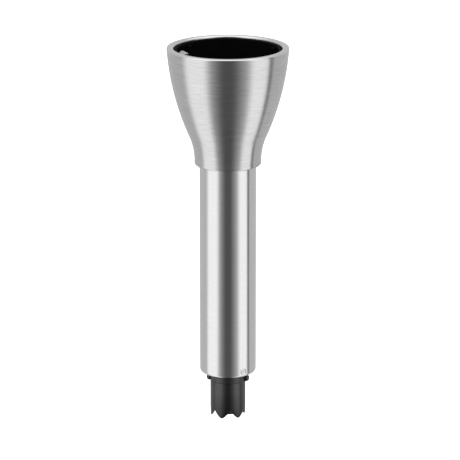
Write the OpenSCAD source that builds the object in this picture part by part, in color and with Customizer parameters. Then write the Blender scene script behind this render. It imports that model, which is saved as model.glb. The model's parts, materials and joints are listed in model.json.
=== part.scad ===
// Blending arm of a stick blender: a steel socket cup for the motor body, a shaft
// tube, and a toothed nose that carries the blending tool. Millimetres, +Z up,
// the cup's mouth on top. The origin is the centre of the socket's floor.

/* [Cup] */
// Outside diameter of the cup at its rim
rim_d = 60; // [59:0.5:62]
// Inside diameter of the steel lip at the rim
lip_d = 53; // [52.6:0.1:53.4]
// Outside diameter of the collar at the cup's lower end
collar_d = 33; // [32.6:0.1:33.6]
// Length of the cup from its rim to the collar's lower end
cup_h = 58.8; // [58.8:0.1:60]
// Thickness of the cup's steel sheet
sheet = 0.8; // [0.6:0.1:0.8]
// Radius of the long convex curve of the cup's side
flare_r = 131.7; // [130:0.1:134]
// Lean of the cup's side at the rim, in degrees
flare_lean = 4.14; // [3.9:0.01:4.3]
// Radius of the hollow curve above the collar
neck_r = 30.3; // [29:0.1:31]

/* [Socket] */
// Depth of the socket from the rim to its floor
socket_depth = 36; // [36:0.1:36.6]
// Diameter of the straight pilot wall above the floor
pilot_d = 39; // [38.6:0.1:39.2]
// Height of the pilot wall
pilot_h = 13; // [12.5:0.1:13.5]
// Direction of the latch around the axis, in degrees
latch_angle = 213.5; // [205:0.5:235]

/* [Tube] */
// Outside diameter of the shaft tube
tube_d = 28; // [28:0.1:28.2]
// Wall thickness of the shaft tube
tube_wall = 1; // [0.9:0.1:1.1]
// Length from the cup's rim to the tube's lower end
arm_l = 165.4; // [165:0.1:170]
// Radius that the tube's lower end is rolled in by
roll_r = 1.8; // [1.4:0.1:2.2]

/* [Nose] */
// Outside diameter of the toothed sleeve
nose_d = 17.6; // [17.4:0.1:18.2]
// Outside diameter at the tips of the teeth, below the taper
tip_d = 17.2; // [16.8:0.1:17.4]
// Length from the tube's end to the tips of the teeth
nose_l = 22.9; // [22.2:0.1:23.4]
// Number of teeth on the sleeve
teeth = 6; // [5:1:8]
// Depth of the gaps between the teeth
tooth_depth = 4; // [3:0.1:4.2]
// Direction of the first tooth around the axis, in degrees
tooth_angle = 15.5; // [0:0.5:60]
// Distance across the ends of the two lugs
lug_span = 21.5; // [20.8:0.1:21.8]
// Diameter of each lug
lug_d = 3.6; // [3.2:0.1:3.8]

/* [Drive] */
// Diameter of the drive shaft
shaft_d = 6; // [5.9:0.1:6.1]
// Outside diameter of the input coupling
coupling_d = 16; // [15:0.5:16.4]
// Number of drive lobes in the input coupling
lobes = 6; // [4:1:6]
// Outside diameter of the drive socket in the nose
hub_d = 10; // [9.6:0.1:10.4]
// Width across the drive socket's square
square_w = 5; // [4.8:0.1:5.4]

/* [Hidden] */
$fn = 96;

slip = 0.05;                    // radial gap of a running fit
past = 1;                       // how far a cutting tool runs past a surface

rim_r = rim_d / 2;
lip_r = lip_d / 2;
collar_r = collar_d / 2;
pilot_r = pilot_d / 2;
tube_r = tube_d / 2;
tube_ri = tube_r - tube_wall;
nose_r = nose_d / 2;
tip_r = tip_d / 2;
shaft_r = shaft_d / 2;
hub_r = hub_d / 2;
collet_r = shaft_r + 1.2;       // outside of the spacer on the shaft

// Height of a point that lies a given depth below the rim
function z_at(depth) = socket_depth - depth;
// Points along an arc, from angle a0 to angle a1
function arc(cx, cy, r, a0, a1, steps) =
    [for (i = [0:steps]) let (a = a0 + (a1 - a0) * i / steps) [cx + r * cos(a), cy + r * sin(a)]];

// The cup's side: a convex arc that runs on into a hollow one, and so into the collar
rim_round = 0.6;
collar_round = 1.2;
lip_h = 1.2;
flare_x = rim_r - flare_r * cos(flare_lean);
flare_depth = rim_round - flare_r * sin(flare_lean);
join_a = acos((collar_r + neck_r - flare_x) / (flare_r + neck_r));
neck_depth = flare_depth + (flare_r + neck_r) * sin(join_a);
inner_lean = asin((sheet - flare_depth) / (flare_r - sheet));

// The liner's levels, as depths below the rim
liner_wall = 1.3;
mouth_r = 25;
ledge_depth = 1.6;
cone_top = 10;
cone_end = socket_depth - pilot_h;
floor_t = 4;
floor_end = socket_depth + floor_t;
well_r = 10;
screw_ring = 16.2;
screw_r = 1.5;
screw_head_r = 2.75;
screw_head_h = 1.8;
head_gap = 0.3;                 // how far the screw heads lie below the socket's floor
seat_gap = 0.15;                // room round a screw head

// The latch: a lever on a cross pin between two ears of the liner
pivot_r = 25;
pivot_depth = 16.5;
eye_r = 1.05;
pin_r = 0.75;
blade_r = 26.6;
blade_t = 0.6;
catch_w = 5;
notch_w = 6;
ear_in = 3.3;
ear_out = 4.4;
ear_r = 22.9;
ear_h = 1.2;
notch_end = 4.4;
blade_foot = 12;

// The drive line's levels, as depths below the rim
coupling_top = socket_depth + 0.5;
coupling_end = coupling_top + 13.5;
lobe_depth = 8;
shaft_top = coupling_top + lobe_depth;
upper_pin = shaft_top + 2.8;
upper_pin_r = 1;
groove = 0.4;                   // depth of the circlip's groove in the shaft
head_top = floor_end;
flange_t = 3.5;
seal_top = coupling_end + 0.4;
clip_top = coupling_end + 2.7;
clip_t = 0.8;
bearing_top = coupling_end + 3.6;
bearing_w = 6;
bearing_r = 9.5;
bearing_end = bearing_top + bearing_w;
head_end = bearing_end + 6.4;
ball_ring = 6.25;
ball_r = 1.6;
race_r = 1.75;
ball_count = 7;
steady_top = 104;
steady_l = 10;
end_ri = 10.7;                  // inside of the tube's rolled-in end
housing_top = arm_l - 15.4;
seal_mid = housing_top + 5.7;
pocket_end = housing_top + 6.5;
bushing_end = housing_top + 18;
lip_seal_top = housing_top + 19;
bush_r = 5.5;
sleeve_top = arm_l + 4.6;
neck_step = 0.2;                // how much slimmer the nose is beside the lugs
lug_depth = arm_l + 3.5;
tip_depth = arm_l + nose_l;
spigot_end = sleeve_top + 4.5;
hub_top = spigot_end + 1;
hub_end = tip_depth - 1.1;
lower_pin = hub_top + 2.7;
lower_pin_r = 0.8;
square_depth = 5.3;
shaft_end = hub_end - square_depth - 0.2;
sleeve_ri = 7.4;

// A ring or a disc about the axis, between two depths below the rim
module ring(top, end, ro, ri = 0) {
    translate([0, 0, z_at(end)]) difference() {
        cylinder(h = end - top, r = ro);
        if (ri > 0) translate([0, 0, -past]) cylinder(h = end - top + 2 * past, r = ri);
    }
}

// A straight round rod between two points
module rod(p, q, r) {
    v = q - p;
    translate(p) rotate([0, acos(v[2] / norm(v)), atan2(v[1], v[0])]) cylinder(h = norm(v), r = r, $fn = 24);
}

// Puts its children at the latch: X outwards, Y along the pin, Z up
module at_latch() {
    rotate([0, 0, latch_angle]) children();
}

// A hole through both sides of the shaft or a hub, across the axis
module cross_pin(depth, r, l) {
    translate([0, 0, z_at(depth)]) rotate([90, 0, 0]) cylinder(h = l, r = r, center = true, $fn = 32);
}

// The slot that the latch's nose and blade move in
module latch_notch(ri, top, end) {
    at_latch() translate([ri, -notch_w / 2, z_at(end)]) cube([29 - ri, notch_w, end - top]);
}

module cup_shell() {
    color("silver") difference() {
        rotate_extrude() polygon(concat(
            [[lip_r, z_at(lip_h)]],
            arc(lip_r + rim_round, z_at(rim_round), rim_round, 180, 90, 4),
            arc(rim_r - rim_round, z_at(rim_round), rim_round, 90, 0, 4),
            arc(flare_x, z_at(flare_depth), flare_r, -flare_lean - 0.5, -join_a, 20),
            arc(collar_r + neck_r, z_at(neck_depth), neck_r, 179 - join_a, 180, 10),
            arc(collar_r - collar_round, z_at(cup_h - collar_round), collar_round, 0, -90, 6),
            [[tube_r, z_at(cup_h)], [tube_r, z_at(cup_h - sheet)]],
            arc(collar_r - collar_round, z_at(cup_h - collar_round), collar_round - sheet, -90, 0, 6),
            arc(collar_r + neck_r, z_at(neck_depth), neck_r + sheet, 180, 179 - join_a, 10),
            arc(flare_x, z_at(flare_depth), flare_r - sheet, -join_a, -inner_lean, 20),
            [[lip_r + sheet, z_at(sheet)], [lip_r + sheet, z_at(lip_h)]]));
        latch_notch(lip_r - past, sheet, lip_h + past);
    }
}

module socket_liner() {
    rib_w = 3;
    rib_in = 1.8;
    rib_h = 7;
    root = 0.6;                 // how far a rib or an ear reaches into the wall
    ledge_r = lip_r + 2.1;
    ledge_end = ledge_depth + 1;
    skirt_r = pilot_r + 0.1;
    color("#151515") difference() {
        union() {
            rotate_extrude() polygon([
                [mouth_r, z_at(lip_h)], [lip_r + sheet, z_at(lip_h)],
                [lip_r + sheet, z_at(ledge_depth)], [ledge_r, z_at(ledge_depth)],
                [ledge_r, z_at(ledge_end)], [mouth_r + liner_wall, z_at(ledge_end)],
                [mouth_r + liner_wall, z_at(cone_top)], [pilot_r + liner_wall, z_at(cone_end)],
                [pilot_r + liner_wall, z_at(socket_depth)], [skirt_r, z_at(floor_end)],
                [well_r, z_at(floor_end)], [well_r, z_at(socket_depth)],
                [pilot_r, z_at(socket_depth)], [pilot_r, z_at(cone_end)],
                [mouth_r, z_at(cone_top)]]);
            for (a = [30:120:270]) rotate([0, 0, a])
                translate([mouth_r - rib_in, -rib_w / 2, z_at(cone_top - root)])
                    cube([rib_in + root, rib_w, rib_h]);
            at_latch() for (y = [-ear_out, ear_in])
                translate([ear_r, y, z_at(pivot_depth + ear_h)])
                    cube([pivot_r + liner_wall - ear_r, ear_out - ear_in, 2 * ear_h]);
        }
        latch_notch(mouth_r - past, lip_h - past, notch_end);
        at_latch() translate([pivot_r, 0, z_at(pivot_depth)]) rotate([90, 0, 0])
            cylinder(h = 4 * ear_out, r = pin_r, center = true, $fn = 32);
        for (a = [90:120:330]) rotate([0, 0, a]) translate([screw_ring, 0, 0]) {
            translate([0, 0, z_at(floor_end + past)])
                cylinder(h = floor_t + 2 * past, r = screw_r + 0.1, $fn = 32);
            translate([0, 0, -head_gap - screw_head_h])
                cylinder(h = head_gap + screw_head_h + past, r = screw_head_r + seat_gap, $fn = 32);
        }
    }
}

module rim_gasket() {
    outer_r = lip_r + 2;
    inner_r = lip_r + sheet + 0.1;
    color("#202020") difference() {
        ring(sheet, ledge_depth, outer_r, inner_r);
        latch_notch(lip_r, sheet - past, ledge_depth + past);
    }
}

module latch_catch() {
    bend = 0.4;                 // chamfer at the bend from the blade to the arm
    arm_top = 0.9;
    arm_under = arm_top + 1;
    hump_r = 23.4;
    hump_round = 0.8;
    tip_x = 22.9;
    tip_round = 0.7;
    tip_depth = 1.1;
    color("gainsboro") at_latch() difference() {
        union() {
            translate([0, catch_w / 2, 0]) rotate([90, 0, 0]) linear_extrude(catch_w) polygon(concat(
                [[pivot_r + eye_r, z_at(pivot_depth)], [blade_r + blade_t, z_at(blade_foot)],
                [blade_r + blade_t, z_at(arm_top + bend)], [blade_r + blade_t - bend, z_at(arm_top)],
                [hump_r + 1.4, z_at(arm_top)], [hump_r + 1, z_at(0.3)]],
                arc(hump_r, z_at(hump_round), hump_round, 70, 110, 4),
                arc(tip_x, z_at(tip_depth), tip_round, 110, 230, 6),
                [[tip_x + 0.3, z_at(arm_under - bend)], [hump_r + 0.6, z_at(arm_under - 0.6)],
                [hump_r + 1.2, z_at(arm_under)], [blade_r, z_at(arm_under)], [blade_r, z_at(blade_foot)],
                [pivot_r - 0.2, z_at(pivot_depth - eye_r + 0.02)]]));
            translate([pivot_r, 0, z_at(pivot_depth)]) rotate([90, 0, 0])
                cylinder(h = catch_w, r = eye_r, center = true, $fn = 32);
        }
        translate([pivot_r, 0, z_at(pivot_depth)]) rotate([90, 0, 0])
            cylinder(h = 2 * catch_w, r = pin_r + slip, center = true, $fn = 32);
    }
}

module latch_pin() {
    color("silver") at_latch() translate([pivot_r, 0, z_at(pivot_depth)]) rotate([90, 0, 0])
        cylinder(h = 2 * ear_out, r = pin_r, center = true, $fn = 32);
}

// Two turns beside the lever's eye, and an arm that hooks over the back of the blade
module latch_spring() {
    wire_r = 0.15;
    coil_r = 1;
    pitch = 0.24;
    side = 2.9;
    hook_depth = 9;
    hook_r = blade_r + blade_t + 0.2;
    hook_end = 0.5;
    color("lightsteelblue") at_latch() {
        for (y = [side - pitch / 2, side + pitch / 2])
            translate([pivot_r, y, z_at(pivot_depth)]) rotate([90, 0, 0])
                rotate_extrude($fn = 32) translate([coil_r, 0]) circle(wire_r, $fn = 16);
        rod([pivot_r + coil_r, side, z_at(pivot_depth)], [hook_r, side, z_at(hook_depth)], wire_r);
        rod([hook_r, side + wire_r, z_at(hook_depth)], [hook_r, hook_end, z_at(hook_depth)], wire_r);
    }
}

module liner_screws() {
    key_r = 1.2;
    key_depth = 1;
    thread_l = flange_t + 2;
    color("silver") for (a = [90:120:330]) rotate([0, 0, a]) translate([screw_ring, 0, 0]) difference() {
        union() {
            translate([0, 0, -head_gap - screw_head_h])
                cylinder(h = screw_head_h, r = screw_head_r, $fn = 32);
            translate([0, 0, z_at(head_top + flange_t)]) cylinder(h = thread_l, r = screw_r, $fn = 32);
        }
        translate([0, 0, -head_gap - key_depth]) cylinder(h = key_depth + past, r = key_r, $fn = 6);
    }
}

// Plastic ring that centres the collar on the tube
module collar_ring() {
    ring_r = collar_r - sheet - 0.1;
    ring_top = 50;
    foot_r = ring_r - 0.9;
    color("#303030") rotate_extrude() polygon([
        [tube_r, z_at(ring_top)], [ring_r, z_at(ring_top)], [ring_r, z_at(cup_h - collar_round)],
        [foot_r, z_at(cup_h - sheet)], [tube_r, z_at(cup_h - sheet)]]);
}

module arm_tube() {
    roll_x = tube_r - roll_r;
    roll_z = z_at(arm_l - roll_r);
    mark_a = -49.3;
    mark_r = 1.6;
    mark_ri = 1.15;
    mark_deep = 0.22;
    mark_up = 3;
    color("silver") difference() {
        rotate_extrude() polygon(concat(
            [[tube_ri, z_at(head_top + flange_t)], [tube_r, z_at(head_top + flange_t)]],
            arc(roll_x, roll_z, roll_r, 0, -90, 10),
            [[end_ri, z_at(arm_l)], [end_ri, z_at(arm_l - tube_wall)]],
            arc(roll_x, roll_z, roll_r - tube_wall, -90, 0, 10)));
        rotate([0, 0, mark_a]) translate([tube_r - mark_deep, 0, z_at(arm_l - mark_up)])
            rotate([0, 90, 0]) difference() {
                cylinder(h = past, r = mark_r, $fn = 32);
                translate([0, 0, -past]) cylinder(h = 3 * past, r = mark_ri, $fn = 32);
            }
    }
}

// Alloy plug that joins the cup to the tube and seats the upper bearing
module tube_head() {
    flange_r = 18.2;
    skirt_r = 11;
    shoulder_r = 7.6;
    shoulder_end = bearing_end + 2;
    groove_r = 10;
    color("darkgray") difference() {
        rotate_extrude() polygon([
            [well_r, z_at(head_top)], [flange_r, z_at(head_top)],
            [flange_r, z_at(head_top + flange_t)], [tube_ri, z_at(head_top + flange_t)],
            [tube_ri, z_at(head_end)], [skirt_r, z_at(head_end)],
            [skirt_r, z_at(shoulder_end)], [shoulder_r, z_at(shoulder_end)],
            [shoulder_r, z_at(bearing_end)], [bearing_r, z_at(bearing_end)],
            [bearing_r, z_at(clip_top + clip_t)], [groove_r, z_at(clip_top + clip_t)],
            [groove_r, z_at(clip_top)], [bearing_r, z_at(clip_top)],
            [bearing_r, z_at(coupling_end + 0.3)], [well_r, z_at(coupling_end + 0.3)]]);
        for (a = [90:120:330]) rotate([0, 0, a]) translate([screw_ring, 0, z_at(head_top + flange_t + past)])
            cylinder(h = flange_t + 2 * past, r = screw_r, $fn = 32);
    }
}

module upper_seal() {
    seal_wall = 1.2;
    color("#262626") difference() {
        ring(seal_top, clip_top - 0.1, bearing_r, collet_r + slip);
        ring(seal_top - past, seal_top + seal_wall, bearing_r - seal_wall, collet_r + 1);
    }
}

module bearing_circlip() {
    outer_r = 10;
    inner_r = 8.3;
    gap = 3;
    color("silver") difference() {
        ring(clip_top, clip_top + clip_t, outer_r, inner_r);
        translate([0, -gap / 2, z_at(clip_top + clip_t + past)])
            cube([outer_r + past, gap, clip_t + 2 * past]);
    }
}

// The groove that the balls roll in, cut out of either bearing ring
module race() {
    translate([0, 0, z_at(bearing_top + bearing_w / 2)])
        rotate_extrude() translate([ball_ring, 0]) circle(race_r, $fn = 48);
}

module bearing_outer() {
    land_r = 7.3;
    color("gainsboro") difference() {
        ring(bearing_top, bearing_end, bearing_r, land_r);
        race();
    }
}

module bearing_inner() {
    land_r = 5.2;
    color("gainsboro") difference() {
        ring(bearing_top, bearing_end, land_r, shaft_r);
        race();
    }
}

module at_balls() {
    for (i = [0:ball_count - 1]) rotate([0, 0, i * 360 / ball_count])
        translate([ball_ring, 0, z_at(bearing_top + bearing_w / 2)]) children();
}

module bearing_balls() {
    color("white") at_balls() sphere(ball_r, $fn = 32);
}

module bearing_cage() {
    mid = bearing_top + bearing_w / 2;
    half_w = 1.2;
    outer_r = 7;
    inner_r = 5.5;
    color("goldenrod") difference() {
        ring(mid - half_w, mid + half_w, outer_r, inner_r);
        at_balls() sphere(ball_r, $fn = 32);
    }
}

module shaft_spacer() {
    color("silver") ring(coupling_end, bearing_top, collet_r, shaft_r);
}

module input_coupling() {
    bore_r = 4.2;
    lobe_r = 5.6;
    lobe_w = 2.2;
    lobe_end = shaft_top - 0.5;
    edge = 0.8;
    outer_r = coupling_d / 2;
    color("#202020") difference() {
        rotate_extrude() polygon([
            [0, z_at(coupling_top)], [outer_r - edge, z_at(coupling_top)],
            [outer_r, z_at(coupling_top + edge)], [outer_r, z_at(coupling_end)],
            [0, z_at(coupling_end)]]);
        translate([0, 0, z_at(coupling_end + past)])
            cylinder(h = coupling_end - coupling_top + 2 * past, r = shaft_r);
        translate([0, 0, z_at(shaft_top)]) cylinder(h = lobe_depth + past, r = bore_r);
        for (i = [0:lobes - 1]) rotate([0, 0, (i + 0.5) * 360 / lobes])
            translate([0, -lobe_w / 2, z_at(lobe_end)]) cube([lobe_r, lobe_w, lobe_depth + past]);
        cross_pin(upper_pin, upper_pin_r, coupling_d + 2 * past);
    }
}

module coupling_pin() {
    color("silver") cross_pin(upper_pin, upper_pin_r, coupling_d - 1);
}

module drive_shaft() {
    color("silver") difference() {
        ring(shaft_top, shaft_end, shaft_r);
        cross_pin(upper_pin, upper_pin_r, coupling_d);
        cross_pin(lower_pin, lower_pin_r, hub_d);
        ring(bearing_end, bearing_end + clip_t, shaft_r + past, shaft_r - groove);
    }
}

module shaft_circlip() {
    outer_r = shaft_r + 2.2;
    gap = 2.4;
    color("silver") difference() {
        ring(bearing_end, bearing_end + clip_t, outer_r, shaft_r - groove);
        translate([0, -gap / 2, z_at(bearing_end + clip_t + past)])
            cube([outer_r + past, gap, clip_t + 2 * past]);
    }
}

// Thin tubes that keep the head, the steady bush and the nose apart
module spacer(top, end) {
    wall = 1.4;
    gap = 0.2;
    ring(top, end, tube_ri - gap, tube_ri - gap - wall);
}

module upper_spacer() {
    color("#3a3a3a") spacer(head_end, steady_top);
}

module lower_spacer() {
    color("#3a3a3a") spacer(steady_top + steady_l, housing_top);
}

// Bush half way down the tube that stops the long shaft from whipping
module steady_bush() {
    hole_r = 2.4;
    hole_ring = 8.2;
    color("ivory") difference() {
        ring(steady_top, steady_top + steady_l, tube_ri - 0.1, shaft_r + slip);
        for (a = [0:60:300]) rotate([0, 0, a]) translate([hole_ring, 0, z_at(steady_top + steady_l + past)])
            cylinder(h = steady_l + 2 * past, r = hole_r, $fn = 32);
    }
}

// One lug: a short round peg with a rounded end, pointing along +X
module lug() {
    lug_r = lug_d / 2;
    round_r = 1.5;
    foot_r = bush_r + 0.5;
    translate([0, 0, z_at(lug_depth)]) rotate([0, 90, 0]) rotate_extrude($fn = 48) polygon(concat(
        [[0, foot_r], [lug_r, foot_r]],
        arc(lug_r - round_r, lug_span / 2 - round_r, round_r, 0, 90, 6),
        [[0, lug_span / 2]]));
}

// Black body of the nose: clamped in the tube's rolled end, with the two lugs outside it
module nose_housing() {
    flange_r = tube_ri - 0.3;
    curve_r = 1.2;
    flange_end = arm_l - 1.5;
    groove_ri = flange_r - 1.4;
    groove_top = seal_mid - 0.9;
    groove_end = seal_mid + 0.9;
    waist_r = nose_r - neck_step;
    pocket_r = 7.1;
    color("#0c0c0c") difference() {
        union() {
            rotate_extrude() polygon(concat(
                [[bush_r, z_at(housing_top)], [flange_r, z_at(housing_top)],
                [flange_r, z_at(groove_top)], [groove_ri, z_at(groove_top)],
                [groove_ri, z_at(groove_end)], [flange_r, z_at(groove_end)]],
                arc(flange_r - curve_r, z_at(flange_end - curve_r), curve_r, 0, -90, 6),
                [[waist_r, z_at(flange_end)], [waist_r, z_at(sleeve_top)],
                [sleeve_ri, z_at(sleeve_top)], [sleeve_ri, z_at(spigot_end)],
                [bush_r, z_at(spigot_end)]]));
            lug();
            rotate([0, 0, 180]) lug();
        }
        ring(housing_top - past, pocket_end, pocket_r);
    }
}

module nose_o_ring() {
    cord_r = 0.8;
    color("#202020") translate([0, 0, z_at(seal_mid)])
        rotate_extrude() translate([tube_ri - cord_r - slip, 0]) circle(cord_r, $fn = 32);
}

module lower_bushing() {
    rim_r = 7;
    rim_h = 1.5;
    color("peru") difference() {
        union() {
            ring(pocket_end - rim_h, pocket_end, rim_r);
            ring(pocket_end, bushing_end, bush_r);
        }
        ring(housing_top, bushing_end + past, shaft_r + slip);
    }
}

module lower_seal() {
    end = lip_seal_top + 4;
    back = 1.4;
    wall = 0.6;
    lip_t = 0.9;
    color("#262626") difference() {
        ring(lip_seal_top, end, bush_r, shaft_r + slip);
        ring(lip_seal_top + back, end + past, bush_r - wall, shaft_r + lip_t);
    }
}

module seal_spring() {
    wire_r = 0.3;
    color("gold") translate([0, 0, z_at(lip_seal_top + 2.2)])
        rotate_extrude() translate([shaft_r + 1.2, 0]) circle(wire_r, $fn = 24);
}

// Outline of the gap between two teeth: steep at its root, rounding off towards the tips
module gap_outline() {
    tip_half = 0.25;
    root_half = 0.15;
    bow = 1.3;
    steps = 6;
    gap_half = tip_r * sin(180 / teeth) - tip_half;
    flank = [for (i = [0:steps]) let (u = i / steps)
        [gap_half + (root_half - gap_half) * u, tooth_depth * pow(u, bow)]];
    outside = 3 * flank[0] - 2 * flank[1];
    side = concat([outside], [for (i = [1:steps]) flank[i]]);
    polygon(concat(side, [for (i = [steps:-1:0]) [-side[i][0], side[i][1]]]));
}

// Sleeve with a ring of pointed teeth on its tapered lower end, keyed over the two lugs
module crown_sleeve() {
    shoulder = lug_depth + lug_d / 2 + 0.15;
    shoulder_h = 0.6;
    taper_l = tooth_depth + 0.4;
    color("#3b3b3b") difference() {
        rotate_extrude() polygon([
            [sleeve_ri, z_at(sleeve_top)], [nose_r - neck_step, z_at(sleeve_top)],
            [nose_r - neck_step, z_at(shoulder - shoulder_h)], [nose_r, z_at(shoulder)],
            [nose_r, z_at(tip_depth - taper_l)], [tip_r, z_at(tip_depth)], [sleeve_ri, z_at(tip_depth)]]);
        for (i = [0:teeth - 1]) rotate([0, 0, tooth_angle + (i + 0.5) * 360 / teeth])
            translate([sleeve_ri - past, 0, z_at(tip_depth)]) rotate([90, 0, 90])
                linear_extrude(nose_r) gap_outline();
        for (a = [0, 180]) rotate([0, 0, a]) translate([sleeve_ri - past, 0, z_at(lug_depth)])
            rotate([0, 90, 0]) cylinder(h = nose_r, r = lug_d / 2 + slip, $fn = 48);
    }
}

module drive_socket() {
    color("#1c1c1c") difference() {
        ring(hub_top, hub_end, hub_r);
        ring(hub_top - past, shaft_end, shaft_r);
        translate([-square_w / 2, -square_w / 2, z_at(hub_end + past)])
            cube([square_w, square_w, square_depth + past]);
        cross_pin(lower_pin, lower_pin_r, hub_d + 2 * past);
    }
}

module socket_pin() {
    color("silver") cross_pin(lower_pin, lower_pin_r, hub_d - 0.4);
}

cup_shell();
socket_liner();
rim_gasket();
latch_catch();
latch_pin();
latch_spring();
liner_screws();
collar_ring();
arm_tube();
tube_head();
upper_seal();
bearing_circlip();
bearing_outer();
bearing_balls();
bearing_cage();
bearing_inner();
shaft_spacer();
input_coupling();
coupling_pin();
drive_shaft();
shaft_circlip();
upper_spacer();
steady_bush();
lower_spacer();
nose_housing();
nose_o_ring();
lower_bushing();
lower_seal();
seal_spring();
crown_sleeve();
drive_socket();
socket_pin();
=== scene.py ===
import json
import math

import bmesh
import bpy
from mathutils import Matrix, Vector


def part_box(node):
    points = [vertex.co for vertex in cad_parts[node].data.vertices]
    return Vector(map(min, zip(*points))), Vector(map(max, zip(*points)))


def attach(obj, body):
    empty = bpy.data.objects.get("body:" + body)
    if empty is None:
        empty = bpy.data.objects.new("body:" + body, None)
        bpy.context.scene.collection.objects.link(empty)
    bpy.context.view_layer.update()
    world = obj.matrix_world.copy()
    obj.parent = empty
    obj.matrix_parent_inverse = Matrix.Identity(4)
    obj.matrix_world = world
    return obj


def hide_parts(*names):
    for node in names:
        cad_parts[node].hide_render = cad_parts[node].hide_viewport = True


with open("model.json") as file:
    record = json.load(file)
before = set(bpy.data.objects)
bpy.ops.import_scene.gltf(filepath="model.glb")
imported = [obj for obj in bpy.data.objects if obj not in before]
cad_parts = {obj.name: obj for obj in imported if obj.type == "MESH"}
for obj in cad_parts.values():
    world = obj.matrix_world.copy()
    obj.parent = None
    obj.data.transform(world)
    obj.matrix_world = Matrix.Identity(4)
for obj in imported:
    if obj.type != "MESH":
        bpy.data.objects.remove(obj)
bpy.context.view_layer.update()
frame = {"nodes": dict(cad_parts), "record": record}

MM = 0.001

# ---------------------------------------------------------------- sizes taken from the frame
SHELL_LOW, SHELL_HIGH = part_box("cup_shell")
TUBE_LOW, TUBE_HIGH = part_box("arm_tube")
CROWN_LOW, CROWN_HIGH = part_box("crown_sleeve")
HOUSING_LOW, HOUSING_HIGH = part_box("nose_housing")
HUB_LOW, HUB_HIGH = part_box("drive_socket")
COUPLING_LOW, COUPLING_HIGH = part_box("input_coupling")
LINER_LOW, LINER_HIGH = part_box("socket_liner")
SHAFT_LOW, SHAFT_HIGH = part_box("drive_shaft")

RIM_R = SHELL_HIGH.x
RIM_Z = SHELL_HIGH.z
COLLAR_Z = SHELL_LOW.z
TUBE_R = TUBE_HIGH.x
TUBE_END = TUBE_LOW.z
NOSE_R = CROWN_HIGH.x
TIP_Z = CROWN_LOW.z
SLEEVE_TOP = CROWN_HIGH.z
HUB_R = HUB_HIGH.x

# ---------------------------------------------------------------- sizes that the frame's boxes don't give
SHEET = 0.8 * MM
RIM_ROUND = 0.6 * MM
LIP_ROUND = 1.0 * MM
LIP_R = 26.5 * MM
LIP_H = 1.2 * MM
COLLAR_R = 16.5 * MM
COLLAR_ROUND = 1.2 * MM
FLARE_R = 131.7 * MM
FLARE_LEAN = math.radians(4.14)
NECK_R = 30.3 * MM
TUBE_WALL = 1.0 * MM
ROLL_R = 1.8 * MM
TUBE_END_RI = 10.7 * MM
MARK_UP = 3.0 * MM
MARK_AZIMUTH = math.radians(-49.3)
MOUTH_R = 25.0 * MM
LINER_WALL = 1.3 * MM
LINER_HIGH_R = 28.6 * MM
PILOT_R = 19.5 * MM
WELL_R = 10.0 * MM
SLEEVE_RI = 7.4 * MM
NECK_STEP = 0.2 * MM
SHOULDER_Z = CROWN_HIGH.z - 0.85 * MM
TEETH = 6
TOOTH_DEPTH = 4.0 * MM
TOOTH_AZIMUTH = math.radians(15.5)
TOOTH_TIP_R = 8.6 * MM
TAPER_H = 4.4 * MM
# painted shade: the stretch above the tooth tips over which the sleeve's reflection dims
PAINTED_SHADE_SPAN = 14.0 * MM
LUG_R = 1.8 * MM
LUG_REACH = 10.75 * MM
LUG_DROP = 3.5 * MM
LATCH_AZIMUTH = math.radians(213.5)
LATCH_NOTCH_W = 6.0 * MM
LATCH_PIVOT_R = 25.0 * MM
LATCH_PIVOT_DROP = 16.5 * MM
SCREW_RING = 16.2 * MM
SCREW_AZIMUTHS = [math.radians(a) for a in (90, 210, 330)]

# The view: the camera's direction from the object, how high it stands, and how far off
VIEW_AZIMUTH = math.radians(277.5)
VIEW_HEIGHT = math.radians(15.54)
VIEW_DISTANCE = 1.55
VIEW_SCALE = 2.021 / MM
VIEW_CENTRE_Z = -56.456 * MM
VIEW_SIDE = 1.04 * MM
FRAME_PIXELS = 460
SENSOR = 36.0


# ---------------------------------------------------------------- mesh helpers
def arc(cx, cz, r, start, end, steps):
    """Points of an arc in the radius-height plane, angles in degrees."""
    turns = [math.radians(start + (end - start) * i / steps) for i in range(steps + 1)]
    return [(cx + r * math.cos(t), cz + r * math.sin(t)) for t in turns]


def new_object(name, bm, smooth_angle=30.0):
    """Turns a bmesh into a linked object, smooth except at its sharp edges."""
    bmesh.ops.remove_doubles(bm, verts=bm.verts, dist=1e-7)
    bmesh.ops.recalc_face_normals(bm, faces=bm.faces)
    mesh = bpy.data.meshes.new(name)
    bm.to_mesh(mesh)
    bm.free()
    mesh.shade_smooth()
    mesh.set_sharp_from_angle(angle=math.radians(smooth_angle))
    obj = bpy.data.objects.new(name, mesh)
    bpy.context.scene.collection.objects.link(obj)
    return obj


def lathe_into(bm, outline, segments=192):
    """Adds the closed radius-height outline, turned about Z. A point on the axis is one vertex."""
    rings = []
    for r, z in outline:
        if r < 1e-9:
            rings.append([bm.verts.new((0, 0, z))])
            continue
        turns = [2 * math.pi * i / segments for i in range(segments)]
        rings.append([bm.verts.new((r * math.cos(t), r * math.sin(t), z)) for t in turns])
    for k, ring in enumerate(rings):
        after = rings[(k + 1) % len(rings)]
        for i in range(segments):
            j = (i + 1) % segments
            corners = [ring[i % len(ring)], ring[j % len(ring)], after[j % len(after)], after[i % len(after)]]
            unique = list(dict.fromkeys(corners))
            if len(unique) > 2:
                bm.faces.new(unique)


def lathe(name, outline, segments=192, smooth_angle=30.0):
    bm = bmesh.new()
    lathe_into(bm, outline, segments)
    return new_object(name, bm, smooth_angle)


def box_into(bm, low, high, turn=0.0):
    """Adds a box between two corners, turned about Z."""
    centre = (Vector(low) + Vector(high)) / 2
    size = Vector(high) - Vector(low)
    place = Matrix.Rotation(turn, 4, "Z") @ Matrix.Translation(centre) @ Matrix.Diagonal((*size, 1))
    bmesh.ops.create_cube(bm, size=1.0, matrix=place)


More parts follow.
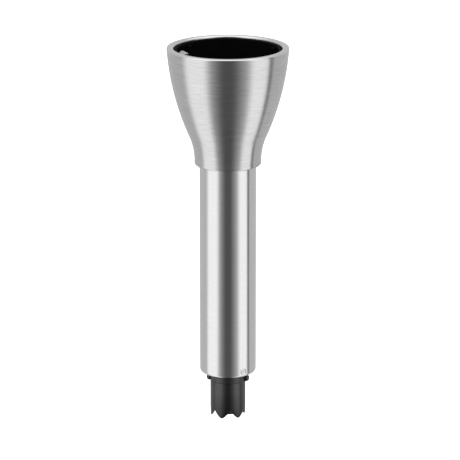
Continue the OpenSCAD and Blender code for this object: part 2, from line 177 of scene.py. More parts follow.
def rod_into(bm, start, end, radius, segments=32):
    """Adds a straight round rod between two points."""
    start, end = Vector(start), Vector(end)
    way = end - start
    place = Matrix.Translation((start + end) / 2) @ way.to_track_quat("Z", "Y").to_matrix().to_4x4()
    bmesh.ops.create_cone(
        bm, cap_ends=True, segments=segments, radius1=radius, radius2=radius, depth=way.length, matrix=place)


def turned(azimuth, r, across, z):
    """A point given by its reach and its sideways offset at an azimuth."""
    c, s = math.cos(azimuth), math.sin(azimuth)
    return Vector((r * c - across * s, r * s + across * c, z))


def cut(obj, bm_cutter, smooth_angle=30.0, mode="DIFFERENCE"):
    """Cuts (or joins) a closed bmesh into obj and applies the result."""
    bmesh.ops.recalc_face_normals(bm_cutter, faces=bm_cutter.faces)
    mesh = bpy.data.meshes.new("cutter")
    bm_cutter.to_mesh(mesh)
    bm_cutter.free()
    cutter = bpy.data.objects.new("cutter", mesh)
    bpy.context.scene.collection.objects.link(cutter)
    step = obj.modifiers.new("cut", "BOOLEAN")
    step.operation = mode
    step.solver = "EXACT"
    step.object = cutter
    apply_modifiers(obj)
    bpy.data.objects.remove(cutter)
    obj.data.shade_smooth()
    obj.data.set_sharp_from_angle(angle=math.radians(smooth_angle))


def apply_modifiers(obj):
    graph = bpy.context.evaluated_depsgraph_get()
    graph.update()
    made = bpy.data.meshes.new_from_object(obj.evaluated_get(graph))
    obj.modifiers.clear()
    old = obj.data
    obj.data = made
    bpy.data.meshes.remove(old)


def bevel(obj, width, segments=3, angle=40.0):
    """Rounds the sharp edges of a small piece."""
    step = obj.modifiers.new("bevel", "BEVEL")
    step.width = width
    step.segments = segments
    step.limit_method = "ANGLE"
    step.angle_limit = math.radians(angle)
    step.harden_normals = False
    apply_modifiers(obj)
    obj.data.shade_smooth()
    obj.data.set_sharp_from_angle(angle=math.radians(35))


# ---------------------------------------------------------------- materials
class Nodes:
    """Short names for the node calls that the materials share."""

    def __init__(self, name):
        self.material = bpy.data.materials.new(name)
        self.material.use_nodes = True
        self.tree = self.material.node_tree
        self.shader = self.tree.nodes["Principled BSDF"]
        self.place = self.add("ShaderNodeTexCoord").outputs["Object"]

    def add(self, kind, **settings):
        node = self.tree.nodes.new(kind)
        for key, value in settings.items():
            setattr(node, key, value)
        return node

    def link(self, source, target):
        self.tree.links.new(source, target)

    def noise(self, scale, stretch=(1, 1, 1), detail=4.0, rough=0.5):
        """Noise on the piece's own coordinates, in cycles per metre, stretched per axis."""
        mapping = self.add("ShaderNodeMapping")
        mapping.inputs["Scale"].default_value = [scale * s for s in stretch]
        self.link(self.place, mapping.inputs["Vector"])
        noise = self.add("ShaderNodeTexNoise")
        noise.inputs["Scale"].default_value = 1.0
        noise.inputs["Detail"].default_value = detail
        noise.inputs["Roughness"].default_value = rough
        self.link(mapping.outputs["Vector"], noise.inputs["Vector"])
        return noise.outputs["Fac"]

    def ramp(self, source, low, high, low_at=0.35, high_at=0.65):
        """Maps a noise to a value or a colour between two ends."""
        ramp = self.add("ShaderNodeValToRGB")
        for stop, at, value in zip(ramp.color_ramp.elements, (low_at, high_at), (low, high)):
            stop.position = at
            stop.color = (*value, 1) if isinstance(value, tuple) else (value, value, value, 1)
        self.link(source, ramp.inputs["Fac"])
        return ramp.outputs["Color"]

    def blend(self, a, b, kind):
        node = self.add("ShaderNodeMix", data_type="RGBA", blend_type=kind)
        colours = [socket for socket in node.inputs if socket.type == "RGBA"]
        self.link(a, colours[0])
        self.link(b, colours[1])
        result = [socket for socket in node.outputs if socket.type == "RGBA"][0]
        return node, result

    def multiply(self, a, b):
        node, result = self.blend(a, b, "MULTIPLY")
        node.inputs["Factor"].default_value = 1.0
        return result

    def mix(self, share, a, b):
        node, result = self.blend(a, b, "MIX")
        self.link(share, node.inputs["Factor"])
        return result

    def step(self, source, edge):
        """One where the source is greater than the edge, else nothing."""
        node = self.add("ShaderNodeMath", operation="GREATER_THAN")
        node.inputs[1].default_value = edge
        self.link(source, node.inputs[0])
        return node.outputs["Value"]

    def bump(self, height, distance, strength, before=None):
        bump = self.add("ShaderNodeBump")
        bump.inputs["Strength"].default_value = strength
        bump.inputs["Distance"].default_value = distance
        self.link(height, bump.inputs["Height"])
        if before is not None:
            self.link(before, bump.inputs["Normal"])
        return bump.outputs["Normal"]

    def set(self, **sockets):
        for key, value in sockets.items():
            self.shader.inputs[key.replace("_", " ")].default_value = value

    def feed(self, **sources):
        for key, source in sources.items():
            self.link(source, self.shader.inputs[key.replace("_", " ")])


AROUND = (0.03, 0.03, 1.0)        # noise that runs round the axis in fine lines
ALONG = (1.0, 1.0, 0.02)          # noise that runs along the axis


def brushed_cup():
    """Stainless steel brushed round the axis: fine lines, a soft broad sheen, and a turned bright lip."""
    n = Nodes("cup_steel")
    height = n.add("ShaderNodeSeparateXYZ")
    n.link(n.place, height.inputs["Vector"])
    lip = n.step(height.outputs["Z"], RIM_Z - RIM_ROUND)
    lines = n.noise(4200, AROUND, detail=5.0, rough=0.65)
    bands = n.noise(2300, AROUND, detail=4.0, rough=0.65)
    cloud = n.noise(55, detail=3.0)
    tone = n.multiply(n.ramp(lines, 0.57, 0.72, 0.3, 0.7), n.ramp(bands, 0.93, 1.0, 0.3, 0.7))
    n.set(Metallic=1.0, Anisotropic=0.85, Anisotropic_Rotation=0.25)
    n.feed(
        Base_Color=n.mix(lip, n.multiply(tone, n.ramp(cloud, (0.97, 0.97, 0.98), (1.0, 1.0, 1.0))),
                         n.ramp(lines, 0.72, 0.78)),
        Roughness=n.mix(lip, n.ramp(bands, 0.20, 0.27, 0.3, 0.7), n.ramp(bands, 0.10, 0.15)),
        Normal=n.bump(lines, 0.01 * MM, 0.13),
        Tangent=round_tangent(n))
    return n.material


def round_tangent(n):
    return n.add("ShaderNodeTangent", direction_type="RADIAL", axis="Z").outputs["Tangent"]


def satin_tube():
    """Drawn and polished stainless tube: clean reflections with a trace of polishing lines."""
    n = Nodes("tube_steel")
    lines = n.noise(6000, AROUND, detail=4.0)
    draw = n.noise(900, ALONG, detail=4.0)
    cloud = n.noise(40, detail=3.0)
    n.set(Metallic=1.0, Anisotropic=0.5, Anisotropic_Rotation=0.25)
    n.feed(
        Base_Color=n.multiply(n.ramp(lines, 0.69, 0.74), n.ramp(draw, 0.98, 1.0)),
        Roughness=n.ramp(cloud, 0.13, 0.17),
        Normal=n.bump(lines, 0.005 * MM, 0.1),
        Tangent=round_tangent(n))
    return n.material


def plain_steel(name, colour=0.62, rough=(0.22, 0.36)):
    """Turned or rolled steel for the small metal pieces."""
    n = Nodes(name)
    grain = n.noise(3000, (1, 1, 1), detail=5.0, rough=0.6)
    n.set(Metallic=1.0)
    n.feed(
        Base_Color=n.ramp(grain, colour * 0.9, colour),
        Roughness=n.ramp(grain, *rough),
        Normal=n.bump(grain, 0.01 * MM, 0.2))
    return n.material


def tinted_metal(name, dark, light, rough=(0.25, 0.42)):
    n = Nodes(name)
    grain = n.noise(2600, detail=6.0, rough=0.7)
    n.set(Metallic=1.0)
    n.feed(
        Base_Color=n.ramp(grain, dark, light, 0.3, 0.7),
        Roughness=n.ramp(grain, *rough),
        Normal=n.bump(grain, 0.02 * MM, 0.4))
    return n.material


def moulded(name, dark, light, rough, grain_scale=2200, bump=0.25, specular=0.5):
    """Moulded plastic: a fine spark-eroded grain, slight flow variation."""
    n = Nodes(name)
    grain = n.noise(grain_scale, detail=5.0, rough=0.6)
    flow = n.noise(120, detail=3.0)
    n.set(Specular_IOR_Level=specular)
    n.feed(
        Base_Color=n.ramp(flow, dark, light),
        Roughness=n.ramp(grain, *rough),
        Normal=n.bump(grain, 0.02 * MM, bump))
    return n.material


def nose_moulding():
    """Charcoal grain on the neck, like the sleeve's; the lugs outside it are darker and glossier."""
    n = Nodes("nose_black")
    grain = n.noise(2600, detail=5.0, rough=0.6)
    split = n.add("ShaderNodeSeparateXYZ")
    n.link(n.place, split.inputs["Vector"])
    flat = n.add("ShaderNodeCombineXYZ")
    n.link(split.outputs["X"], flat.inputs["X"])
    n.link(split.outputs["Y"], flat.inputs["Y"])
    reach = n.add("ShaderNodeVectorMath", operation="LENGTH")
    n.link(flat.outputs["Vector"], reach.inputs[0])
    outside = n.step(reach.outputs["Value"], NOSE_R)
    n.set(Specular_IOR_Level=0.9)
    n.feed(
        Base_Color=n.mix(outside, n.ramp(grain, 0.006, 0.010), n.ramp(grain, 0.001, 0.002)),
        Roughness=n.mix(outside, n.ramp(grain, 0.30, 0.42), n.ramp(grain, 0.14, 0.20)),
        Normal=n.bump(grain, 0.02 * MM, 0.3))
    return n.material


def crown_moulding():
    """The sleeve's charcoal grain, with painted shade: its specular level falls off over the last stretch to
    the teeth, so it is darker towards the tips.
    """
    n = Nodes("crown_black")
    grain = n.noise(2600, detail=5.0, rough=0.6)
    flow = n.noise(120, detail=3.0)
    split = n.add("ShaderNodeSeparateXYZ")
    n.link(n.place, split.inputs["Vector"])
    # painted shade: the specular level climbs from the tooth tips, so the sleeve darkens towards them
    sheen = n.add("ShaderNodeMapRange")
    span = {"From Min": TIP_Z, "From Max": TIP_Z + PAINTED_SHADE_SPAN, "To Min": 0.45, "To Max": 1.0}
    for key, value in span.items():
        sheen.inputs[key].default_value = value
    n.link(split.outputs["Z"], sheen.inputs["Value"])
    n.feed(
        Specular_IOR_Level=sheen.outputs["Result"],
        Base_Color=n.ramp(flow, 0.003, 0.006),
        Roughness=n.ramp(grain, 0.24, 0.34),
        Normal=n.bump(grain, 0.02 * MM, 0.4))
    return n.material


def rubber(name):
    n = Nodes(name)
    grain = n.noise(1800, detail=6.0, rough=0.7)
    n.set(Specular_IOR_Level=0.35)
    n.feed(
        Base_Color=n.ramp(grain, (0.012, 0.012, 0.013), (0.022, 0.022, 0.023)),
        Roughness=n.ramp(grain, 0.6, 0.8),
        Normal=n.bump(grain, 0.03 * MM, 0.3))
    return n.material


MATERIALS = {
    "cup_steel": brushed_cup(),
    "tube_steel": satin_tube(),
    "liner_black": moulded("liner_black", (0.003,) * 3, (0.004,) * 3, (0.5, 0.6), specular=0.02),
    "nose_black": nose_moulding(),
    "crown_black": crown_moulding(),
    "inner_plastic": moulded("inner_plastic", (0.14, 0.14, 0.15), (0.17, 0.17, 0.18), (0.45, 0.6)),
    "bush_plastic": moulded("bush_plastic", (0.70, 0.67, 0.57), (0.76, 0.73, 0.64), (0.4, 0.5)),
    "rubber_black": rubber("rubber_black"),
    "spring_steel": plain_steel("spring_steel", 0.58, (0.20, 0.30)),
    "fastener_steel": plain_steel("fastener_steel"),
    "bearing_steel": plain_steel("bearing_steel", 0.8, (0.05, 0.12)),
    "cage_brass": tinted_metal("cage_brass", (0.66, 0.48, 0.2), (0.78, 0.6, 0.3)),
    "shaft_steel": plain_steel("shaft_steel", 0.66, (0.18, 0.3)),
    "bronze": tinted_metal("bronze", (0.5, 0.31, 0.14), (0.62, 0.42, 0.22), (0.4, 0.55)),
    "head_alloy": tinted_metal("head_alloy", (0.56, 0.56, 0.57), (0.66, 0.66, 0.67), (0.4, 0.55)),
}


def dress(obj, slot):
    obj.data.materials.clear()
    obj.data.materials.append(MATERIALS[slot])


def stand_for(obj, node, slot, body="arm"):
    """Dresses a detailed piece, fixes it to its body and lets it stand for its CAD node."""
    dress(obj, slot)
    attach(obj, body)
    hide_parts(node)
    return obj


# ---------------------------------------------------------------- the cup
def flare_geometry():
    """Centres and the joining angle of the cup's convex arc and of its hollow arc."""
    flare_x = RIM_R - FLARE_R * math.cos(FLARE_LEAN)
    flare_z = RIM_Z - RIM_ROUND + FLARE_R * math.sin(FLARE_LEAN)
    join = math.acos((COLLAR_R + NECK_R - flare_x) / (FLARE_R + NECK_R))
    neck_z = flare_z - (FLARE_R + NECK_R) * math.sin(join)
    return flare_x, flare_z, math.degrees(join), neck_z


def cup_outline():
    flare_x, flare_z, join, neck_z = flare_geometry()
    lean = math.degrees(FLARE_LEAN)
    inner_lean = math.degrees(math.asin((flare_z - RIM_Z + SHEET) / (FLARE_R - SHEET)))
    under_r = COLLAR_R - COLLAR_ROUND
    under_z = COLLAR_Z + COLLAR_ROUND
    outline = [(LIP_R + 0.1 * MM, RIM_Z - LIP_H), (LIP_R, RIM_Z - LIP_H + 0.1 * MM)]
    outline += arc(LIP_R + LIP_ROUND, RIM_Z - LIP_ROUND, LIP_ROUND, 180, 90, 12)
    outline += arc(RIM_R - RIM_ROUND, RIM_Z - RIM_ROUND, RIM_ROUND, 90, 0, 8)
    outline += arc(flare_x, flare_z, FLARE_R, -lean, -join, 72)[1:]
    outline += arc(COLLAR_R + NECK_R, neck_z, NECK_R, 180 - join, 180, 32)[1:]
    outline += arc(under_r, under_z, COLLAR_ROUND, 0, -90, 14)
    outline += [(TUBE_R + 0.02 * MM, COLLAR_Z), (TUBE_R + 0.02 * MM, COLLAR_Z + SHEET)]
    outline += arc(under_r, under_z, COLLAR_ROUND - SHEET, -90, 0, 8)
    outline += arc(COLLAR_R + NECK_R, neck_z, NECK_R + SHEET, 180, 180 - join, 20)
    outline += arc(flare_x, flare_z, FLARE_R - SHEET, -join, -inner_lean, 40)[1:]
    outline += [(LIP_R + SHEET, RIM_Z - SHEET), (LIP_R + SHEET, RIM_Z - LIP_H)]
    return outline


def latch_notch(reach_from, top, end, width=LATCH_NOTCH_W):
    """Cutter for the slot that the latch's nose moves in."""
    bm = bmesh.new()
    box_into(bm, (reach_from, -width / 2, end), (29 * MM, width / 2, top), LATCH_AZIMUTH)
    return bm


def make_cup():
    cup = lathe("cup_skin", cup_outline(), 256)
    cut(cup, latch_notch(LIP_R - 1 * MM, RIM_Z - SHEET, RIM_Z - LIP_H - 1 * MM))
    stand_for(cup, "cup_shell", "cup_steel")


# ---------------------------------------------------------------- the liner and what is in it
def liner_outline():
    top = RIM_Z - LIP_H
    floor = 0.0
    cone_top = RIM_Z - 10 * MM
    cone_end = 13 * MM
    edge = 0.4 * MM
    fillet = 1.6 * MM
    outline = arc(MOUTH_R + edge, top - edge, edge, 180, 90, 4)
    outline += [(LIP_R + SHEET, top), (LIP_R + SHEET, RIM_Z - 1.6 * MM), (LINER_HIGH_R, RIM_Z - 1.6 * MM)]
    outline += [(LINER_HIGH_R, RIM_Z - 2.6 * MM), (MOUTH_R + LINER_WALL, RIM_Z - 2.6 * MM)]
    outline += [(MOUTH_R + LINER_WALL, cone_top), (PILOT_R + LINER_WALL, cone_end)]
    outline += [(PILOT_R + LINER_WALL, floor), (PILOT_R + 0.1 * MM, LINER_LOW.z)]
    outline += [(WELL_R, LINER_LOW.z)]
    outline += arc(WELL_R + edge, floor - edge, edge, 180, 90, 4)
    outline += arc(PILOT_R - fillet, floor + fillet, fillet, -90, 0, 6)
    outline += [(PILOT_R, cone_end), (MOUTH_R, cone_top)]
    return outline


def make_liner():
    liner = lathe("socket_lining", liner_outline(), 192)
    ribs = bmesh.new()
    for azimuth in (30, 150, 270):
        box_into(ribs, (MOUTH_R - 1.8 * MM, -1.5 * MM, RIM_Z - 9.4 * MM),
                 (MOUTH_R + 0.6 * MM, 1.5 * MM, RIM_Z - 2.4 * MM), math.radians(azimuth))
    pivot_z = RIM_Z - LATCH_PIVOT_DROP
    for side in (-4.4 * MM, 3.3 * MM):
        box_into(ribs, (22.9 * MM, side, pivot_z - 1.2 * MM),
                 (MOUTH_R + LINER_WALL, side + 1.1 * MM, pivot_z + 1.2 * MM), LATCH_AZIMUTH)
    cut(liner, ribs, mode="UNION")
    cut(liner, latch_notch(MOUTH_R - 1 * MM, RIM_Z - 0.2 * MM, RIM_Z - 4.4 * MM))
    holes = bmesh.new()
    rod_into(holes, turned(LATCH_AZIMUTH, LATCH_PIVOT_R, -6 * MM, pivot_z),
             turned(LATCH_AZIMUTH, LATCH_PIVOT_R, 6 * MM, pivot_z), 0.75 * MM)
    for azimuth in SCREW_AZIMUTHS:
        x, y, _ = turned(azimuth, SCREW_RING, 0, 0)
        rod_into(holes, (x, y, LINER_LOW.z - 1 * MM), (x, y, 1 * MM), 1.6 * MM)
    cut(liner, holes)
    seats = bmesh.new()
    for azimuth in SCREW_AZIMUTHS:
        x, y, _ = turned(azimuth, SCREW_RING, 0, 0)
        rod_into(seats, (x, y, -2.1 * MM), (x, y, 1 * MM), 2.9 * MM, 48)
    cut(liner, seats)
    stand_for(liner, "socket_liner", "liner_black")


def make_coupling():
    top, end, radius = COUPLING_HIGH.z, COUPLING_LOW.z, COUPLING_HIGH.x
    edge = 0.8 * MM
    outline = [(3 * MM, end)]
    outline += arc(radius - 0.3 * MM, end + 0.3 * MM, 0.3 * MM, -90, 0, 4)
    outline += arc(radius - edge, top - edge, edge, 0, 90, 6)
    outline += [(4.8 * MM, top), (4.2 * MM, top - 0.6 * MM), (4.2 * MM, top - 8 * MM), (3 * MM, top - 8 * MM)]
    coupling = lathe("drive_coupling", outline, 128)
    lobes = bmesh.new()
    for i in range(6):
        box_into(lobes, (2 * MM, -1.1 * MM, top - 7.5 * MM), (5.6 * MM, 1.1 * MM, top + 1 * MM),
                 math.radians(30 + 60 * i))
    cut(coupling, lobes)
    pin_hole = bmesh.new()
    pin_z = top - 10.8 * MM
    rod_into(pin_hole, (0, -9 * MM, pin_z), (0, 9 * MM, pin_z), 1 * MM)
    cut(coupling, pin_hole)
    stand_for(coupling, "input_coupling", "crown_black", "drive_train")


def make_screws():
    """Three socket screws with rounded heads."""
    low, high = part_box("liner_screws")
    head_z = high.z
    head_r, head_h, edge = 2.75 * MM, 1.8 * MM, 0.35 * MM
    bm = bmesh.new()
    lathe_into(bm, [(0, low.z), (1.5 * MM, low.z), (1.5 * MM, head_z - head_h), (head_r, head_z - head_h)]
               + arc(head_r - edge, head_z - edge, edge, 0, 90, 4) + [(0, head_z)], 48)
    screw = new_object("screw", bm)
    key = bmesh.new()
    rod_into(key, (0, 0, head_z - 1 * MM), (0, 0, head_z + 1 * MM), 1.2 * MM, 6)
    cut(screw, key)
    joined = bmesh.new()
    for azimuth in SCREW_AZIMUTHS:
        copy = screw.data.copy()
        copy.transform(Matrix.Translation(turned(azimuth, SCREW_RING, 0, 0)))
        joined.from_mesh(copy)
        bpy.data.meshes.remove(copy)
    bpy.data.objects.remove(screw)
    stand_for(new_object("lining_screws", joined), "liner_screws", "fastener_steel")


def make_latch():
    """The catch lever: a bent strip with a domed nose at the rim and a rolled eye at its foot."""
    width = 5 * MM
    pivot = (LATCH_PIVOT_R, RIM_Z - LATCH_PIVOT_DROP)
    eye_r = 1.05 * MM
    inside_eye = 0.9 * MM
    blade_r, thick = 26.6 * MM, 0.6 * MM
    side = [(pivot[0] + inside_eye, pivot[1]), (blade_r + thick, RIM_Z - 12 * MM)]
    side += arc(blade_r + thick - 0.6 * MM, RIM_Z - 1.5 * MM, 0.6 * MM, 0, 90, 6)
    side += [(25.0 * MM, RIM_Z - 0.9 * MM), (24.4 * MM, RIM_Z - 0.4 * MM)]
    side += arc(23.4 * MM, RIM_Z - 0.8 * MM, 0.8 * MM, 70, 110, 6)
    side += arc(22.9 * MM, RIM_Z - 1.1 * MM, 0.7 * MM, 110, 230, 8)
    side += [(23.2 * MM, RIM_Z - 1.5 * MM), (24 * MM, RIM_Z - 1.3 * MM), (24.6 * MM, RIM_Z - 1.9 * MM)]
    side += [(blade_r - 0.1 * MM, RIM_Z - 1.9 * MM), (blade_r, RIM_Z - 2.0 * MM), (blade_r, RIM_Z - 12 * MM)]
    side += [(pivot[0] + 0.1 * MM, pivot[1] + inside_eye)]
    bm = bmesh.new()
    loops = []
    for across in (-width / 2, width / 2):
        loops.append([bm.verts.new(turned(LATCH_AZIMUTH, r, across, z)) for r, z in side])
    for k in range(len(side)):
        j = (k + 1) % len(side)
        bm.faces.new((loops[0][k], loops[0][j], loops[1][j], loops[1][k]))
    for loop in loops:
        bm.faces.new(loop)
    latch = new_object("latch_lever", bm)
    bevel(latch, 0.08 * MM, 3, 60)
    eye_half = width / 2 - 0.05 * MM
    eye = bmesh.new()
    rod_into(eye, turned(LATCH_AZIMUTH, pivot[0], -eye_half, pivot[1]),
             turned(LATCH_AZIMUTH, pivot[0], eye_half, pivot[1]), eye_r, 48)
    cut(latch, eye, mode="UNION")
    hole = bmesh.new()
    rod_into(hole, turned(LATCH_AZIMUTH, pivot[0], -width, pivot[1]),
             turned(LATCH_AZIMUTH, pivot[0], width, pivot[1]), 0.8 * MM, 48)
    cut(latch, hole)
    stand_for(latch, "latch_catch", "spring_steel", "latch")


# ---------------------------------------------------------------- the tube
def mark_cutter():
    """A ring and a point in its middle, which press a round alignment mark into the tube's side."""
    ring_r, wire_r, point_r, stand_off = 1.35 * MM, 0.4 * MM, 0.5 * MM, 0.15 * MM
    bm = bmesh.new()
    lathe_into(bm, arc(ring_r, 0, wire_r, 0, 345, 23), 64)
    bmesh.ops.create_uvsphere(bm, u_segments=32, v_segments=16, radius=point_r)
    out = turned(MARK_AZIMUTH, 1, 0, 0)
    start = turned(MARK_AZIMUTH, TUBE_R + stand_off, 0, TUBE_END + MARK_UP)
    place = Matrix.Translation(start) @ out.to_track_quat("Z", "Y").to_matrix().to_4x4()
    bmesh.ops.transform(bm, matrix=place, verts=bm.verts)
    return bm


def make_tube():
    roll_x = TUBE_R - ROLL_R
    roll_z = TUBE_END + ROLL_R
    lip = 0.3 * MM
    outline = [(TUBE_R - TUBE_WALL, TUBE_HIGH.z), (TUBE_R, TUBE_HIGH.z)]
    outline += arc(roll_x, roll_z, ROLL_R, 0, -90, 24)
    outline += arc(TUBE_END_RI + lip, TUBE_END + lip, lip, 270, 180, 4)
    outline += [(TUBE_END_RI, TUBE_END + TUBE_WALL)]
    outline += arc(roll_x, roll_z, ROLL_R - TUBE_WALL, -90, 0, 16)
    tube = lathe("shaft_tube", outline, 256)
    cut(tube, mark_cutter())
    stand_for(tube, "arm_tube", "tube_steel")


# ---------------------------------------------------------------- the nose
def lug_into(bm, azimuth):
    """A round peg with a full, soft end."""
    z = TUBE_END - LUG_DROP
    edge = 1.5 * MM
    outline = [(0, 6 * MM), (LUG_R, 6 * MM)]
    outline += arc(LUG_R - edge, LUG_REACH - edge, edge, 0, 90, 10) + [(0, LUG_REACH)]
    part = bmesh.new()
    lathe_into(part, outline, 64)
    way = turned(azimuth, 1, 0, 0)
    place = Matrix.Translation((0, 0, z)) @ way.to_track_quat("Z", "Y").to_matrix().to_4x4()
    bmesh.ops.transform(part, matrix=place, verts=part.verts)
    mesh = bpy.data.meshes.new("lug")
    part.to_mesh(mesh)
    part.free()
    bm.from_mesh(mesh)
    bpy.data.meshes.remove(mesh)


def make_housing():
    top = HOUSING_HIGH.z
    flange_r = HOUSING_HIGH.x
    groove = top - 4.8 * MM
    neck_r = NOSE_R - NECK_STEP
    curve = 1.2 * MM
    outline = [(7.1 * MM, top), (flange_r, top), (flange_r, groove), (flange_r - 1.4 * MM, groove)]
    outline += [(flange_r - 1.4 * MM, groove - 1.8 * MM), (flange_r, groove - 1.8 * MM)]
    outline += arc(flange_r - curve, TUBE_END + 1.5 * MM + curve, curve, 0, -90, 8)
    outline += [(neck_r, TUBE_END + 1.5 * MM), (neck_r, SLEEVE_TOP + 0.15 * MM)]
    outline += [(neck_r - 0.15 * MM, SLEEVE_TOP), (SLEEVE_RI, SLEEVE_TOP), (SLEEVE_RI, HOUSING_LOW.z)]
    outline += [(5.5 * MM, HOUSING_LOW.z), (5.5 * MM, top - 6.5 * MM), (7.1 * MM, top - 6.5 * MM)]
    housing = lathe("nose_body", outline, 192)
    lugs = bmesh.new()
    for azimuth in (0.0, math.pi):
        lug_into(lugs, azimuth)
    cut(housing, lugs, mode="UNION")
    stand_for(housing, "nose_housing", "nose_black")


def tooth_height(r, from_gap):
    """How far the sleeve's edge stands above the tooth tips, at an angle from a gap's middle."""
    tip_half, root_half = 0.25 * MM, 0.15 * MM
    gap_half = TOOTH_TIP_R * math.sin(math.pi / TEETH) - tip_half
    u = (gap_half - r * abs(math.sin(from_gap))) / (gap_half - root_half)
    return TOOTH_DEPTH * min(max(u, 0.0), 1.0) ** 1.3


def make_crown():
    count = TEETH * 56
    edge = 0.3 * MM
    bm = bmesh.new()
    columns = []
    for i in range(count):
        turn = 2 * math.pi * i / count
        from_gap = turn % (2 * math.pi / TEETH) - math.pi / TEETH
        inner_z = TIP_Z + tooth_height(SLEEVE_RI, from_gap)
        outer_h = tooth_height(TOOTH_TIP_R, from_gap)
        outer_r = TOOTH_TIP_R + (NOSE_R - TOOTH_TIP_R) * outer_h / TAPER_H
        outer_z = TIP_Z + outer_h
        ways = [(SLEEVE_RI, SLEEVE_TOP), (SLEEVE_RI, inner_z + edge)]
        ways += arc(SLEEVE_RI + edge, inner_z + edge, edge, 180, 270, 4)[1:]
        ways += arc(outer_r - edge, outer_z + edge, edge, 270, 360, 4)
        ways += [(NOSE_R, TIP_Z + TAPER_H + edge), (NOSE_R, SHOULDER_Z)]
        ways += [(NOSE_R - NECK_STEP, SHOULDER_Z + 0.6 * MM), (NOSE_R - NECK_STEP, SLEEVE_TOP)]
        columns.append([bm.verts.new(turned(turn + TOOTH_AZIMUTH, r, 0, z)) for r, z in ways])
    for i, column in enumerate(columns):
        after = columns[(i + 1) % count]
        for k in range(len(column)):
            j = (k + 1) % len(column)
            bm.faces.new((column[k], column[j], after[j], after[k]))
    crown = new_object("toothed_sleeve", bm, 50)
    notches = bmesh.new()
    z = TUBE_END - LUG_DROP
    for side in (-1, 1):
        rod_into(notches, (side * 6 * MM, 0, z), (side * 12 * MM, 0, z), LUG_R + 0.05 * MM, 48)
    cut(crown, notches, 40)
    stand_for(crown, "crown_sleeve", "crown_black")


def make_hub():
    """The drive socket: a small hub with a square hole for the tool."""
    edge = 0.4 * MM
    bore = 3 * MM
    shaft_end = SHAFT_LOW.z
    outline = [(bore, shaft_end), (bore, HUB_HIGH.z)]
    outline += arc(HUB_R - edge, HUB_HIGH.z - edge, edge, 90, 0, 4)
    outline += arc(HUB_R - edge, HUB_LOW.z + edge, edge, 0, -90, 4)
    outline += [(0, HUB_LOW.z), (0, shaft_end)]
    hub = lathe("square_socket", outline, 128)
    square = bmesh.new()
    half = 2.5 * MM
    box_into(square, (-half, -half, HUB_LOW.z - 1 * MM), (half, half, HUB_LOW.z + 5.3 * MM))
    cut(hub, square)
    hole = bmesh.new()
    pin_z = HUB_HIGH.z - 2.7 * MM
    rod_into(hole, (0, -6 * MM, pin_z), (0, 6 * MM, pin_z), 0.8 * MM)
    cut(hub, hole)
    stand_for(hub, "drive_socket", "crown_black", "drive_train")


# ---------------------------------------------------------------- what stays as the frame has it
def dress_inner_nodes(replaced):
    slots = {s["node"]: s["material_slot"] for s in frame["record"]["subparts"]}
    for name, obj in frame["nodes"].items():
        if name not in replaced:
            dress(obj, slots[name])


# ---------------------------------------------------------------- stage, light and camera
def make_floor():
    size, drop = 12.0, 0.35
    bm = bmesh.new()
    bmesh.ops.create_grid(bm, x_segments=1, y_segments=1, size=size,
                          matrix=Matrix.Translation((0, 0, TIP_Z - drop)))
    floor = new_object("floor", bm)
    n = Nodes("floor_white")
    n.set(Emission_Color=(1, 1, 1, 1), Emission_Strength=0.75, Specular_IOR_Level=0.0)
    n.feed(Base_Color=n.ramp(n.noise(3), 0.86, 0.9), Roughness=n.ramp(n.noise(5), 0.8, 0.9))
    floor.data.materials.append(n.material)
    floor.visible_glossy = False
    floor.visible_diffuse = False
    floor.visible_shadow = False


# The studio: a grey room with two soft boxes, a black cloth round the camera and a narrow black flag.
# Each is its middle in degrees to the right of the camera, its half width, its soft edge and its level.
ROOM = 0.6
BANKS = {
    "left box": (-60, 15, 20, 1.2),
    "right box": (60, 10, 20, 1.2),
    "camera cloth": (0, 5, 40, 0.1),
    "right flag": (85, 0, 10, 0.2),
}
POLE_LEAN = 0.4                 # the banks lean, so their planes meet above and behind the camera
CEILING = 1.25


def turn(degrees):
    """An azimuth as a share of the full turn, with the camera's own direction at the middle."""
    return (degrees + 180) / 360


class Sky(Nodes):
    """The same short node calls for the world."""

    def __init__(self, world):
        self.tree = world.node_tree
        self.tree.nodes.clear()
        self.place = self.add("ShaderNodeTexCoord").outputs["Generated"]

    def toward(self, direction):
        """How far a ray goes in a direction."""
        dot = self.add("ShaderNodeVectorMath", operation="DOT_PRODUCT")
        dot.inputs[1].default_value = direction
        self.link(self.place, dot.inputs[0])
        return dot.outputs["Value"]

    def math(self, operation, a, b):
        node = self.add("ShaderNodeMath", operation=operation)
        for socket, value in zip(node.inputs, (a, b)):
            if isinstance(value, float):
                socket.default_value = value
            else:
                self.link(value, socket)
        return node.outputs[0]

    def fade(self, source, start, end, low=0.0, high=1.0):
        """Goes smoothly from low to high while the source goes from start to end."""
        node = self.add("ShaderNodeMapRange", interpolation_type="SMOOTHSTEP")
        for key, value in (("From Min", start), ("From Max", end), ("To Min", low), ("To Max", high)):
            node.inputs[key].default_value = value
        self.link(source, node.inputs["Value"])
        return node.outputs["Result"]

    def grey(self, level):
        node = self.add("ShaderNodeRGB")
        node.outputs[0].default_value = (level, level, level, 1)
        return node.outputs[0]

    def background(self, strength, colour=None):
        node = self.add("ShaderNodeBackground")
        node.inputs["Strength"].default_value = strength
        if colour is not None:
            self.link(colour, node.inputs["Color"])
        return node.outputs[0]


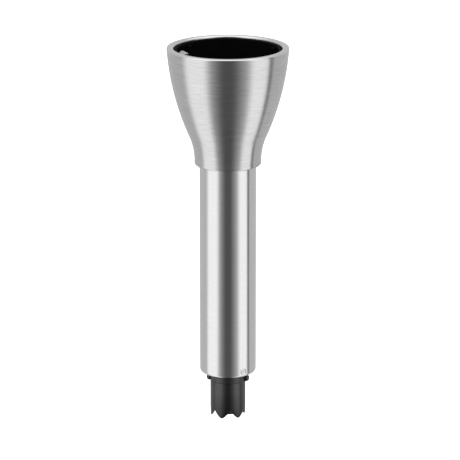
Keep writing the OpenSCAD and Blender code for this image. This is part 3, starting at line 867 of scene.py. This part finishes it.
def make_world():
    world = bpy.data.worlds.new("studio")
    bpy.context.scene.world = world
    world.use_nodes = True
    sky = Sky(world)
    c, s = math.cos(VIEW_AZIMUTH), math.sin(VIEW_AZIMUTH)
    across = sky.toward((-s, c, 0))
    nearer = sky.toward((c, s, -POLE_LEAN))
    height = sky.toward((0, 0, 1))
    share = sky.math("MULTIPLY_ADD", sky.math("ARCTAN2", across, nearer), 0.5 / math.pi)
    share.node.inputs[2].default_value = 0.5
    light = sky.grey(ROOM)
    for middle, half, soft, level in BANKS.values():
        rise = sky.fade(share, turn(middle - half - soft), turn(middle - half))
        fall = sky.fade(share, turn(middle + half + soft), turn(middle + half))
        light = sky.mix(sky.math("MULTIPLY", rise, fall), light, sky.grey(level))
    light = sky.mix(sky.fade(height, 0.60, 0.80), light, sky.grey(CEILING))
    light = sky.background(1.0, light)
    plain = sky.background(1.0)
    plain.node.inputs["Color"].default_value = (1, 1, 1, 1)
    choose = sky.add("ShaderNodeMixShader")
    sky.link(sky.add("ShaderNodeLightPath").outputs["Is Camera Ray"], choose.inputs["Fac"])
    sky.link(light, choose.inputs[1])
    sky.link(plain, choose.inputs[2])
    sky.link(choose.outputs[0], sky.add("ShaderNodeOutputWorld").inputs["Surface"])


def make_camera():
    camera = bpy.data.objects.new("camera", bpy.data.cameras.new("camera"))
    bpy.context.scene.collection.objects.link(camera)
    bpy.context.scene.camera = camera
    c, s = math.cos(VIEW_AZIMUTH), math.sin(VIEW_AZIMUTH)
    right = Vector((-s, c, 0))
    target = Vector((0, 0, VIEW_CENTRE_Z)) + right * VIEW_SIDE
    flat, up = math.cos(VIEW_HEIGHT), math.sin(VIEW_HEIGHT)
    camera.location = target + Vector((c * flat, s * flat, up)) * VIEW_DISTANCE
    camera.rotation_euler = (target - camera.location).to_track_quat("-Z", "Y").to_euler()
    camera.data.sensor_width = SENSOR
    camera.data.lens = VIEW_SCALE * VIEW_DISTANCE / FRAME_PIXELS * SENSOR
    camera.data.clip_start = 0.01
    camera.data.clip_end = 50


make_camera()
make_cup()
make_liner()
make_screws()
make_coupling()
make_latch()
make_tube()
make_housing()
make_crown()
make_hub()
dress_inner_nodes({"cup_shell", "socket_liner", "liner_screws", "input_coupling", "latch_catch", "arm_tube",
                   "nose_housing", "crown_sleeve", "drive_socket"})
make_floor()
make_world()
bpy.context.scene.view_settings.view_transform = "Standard"
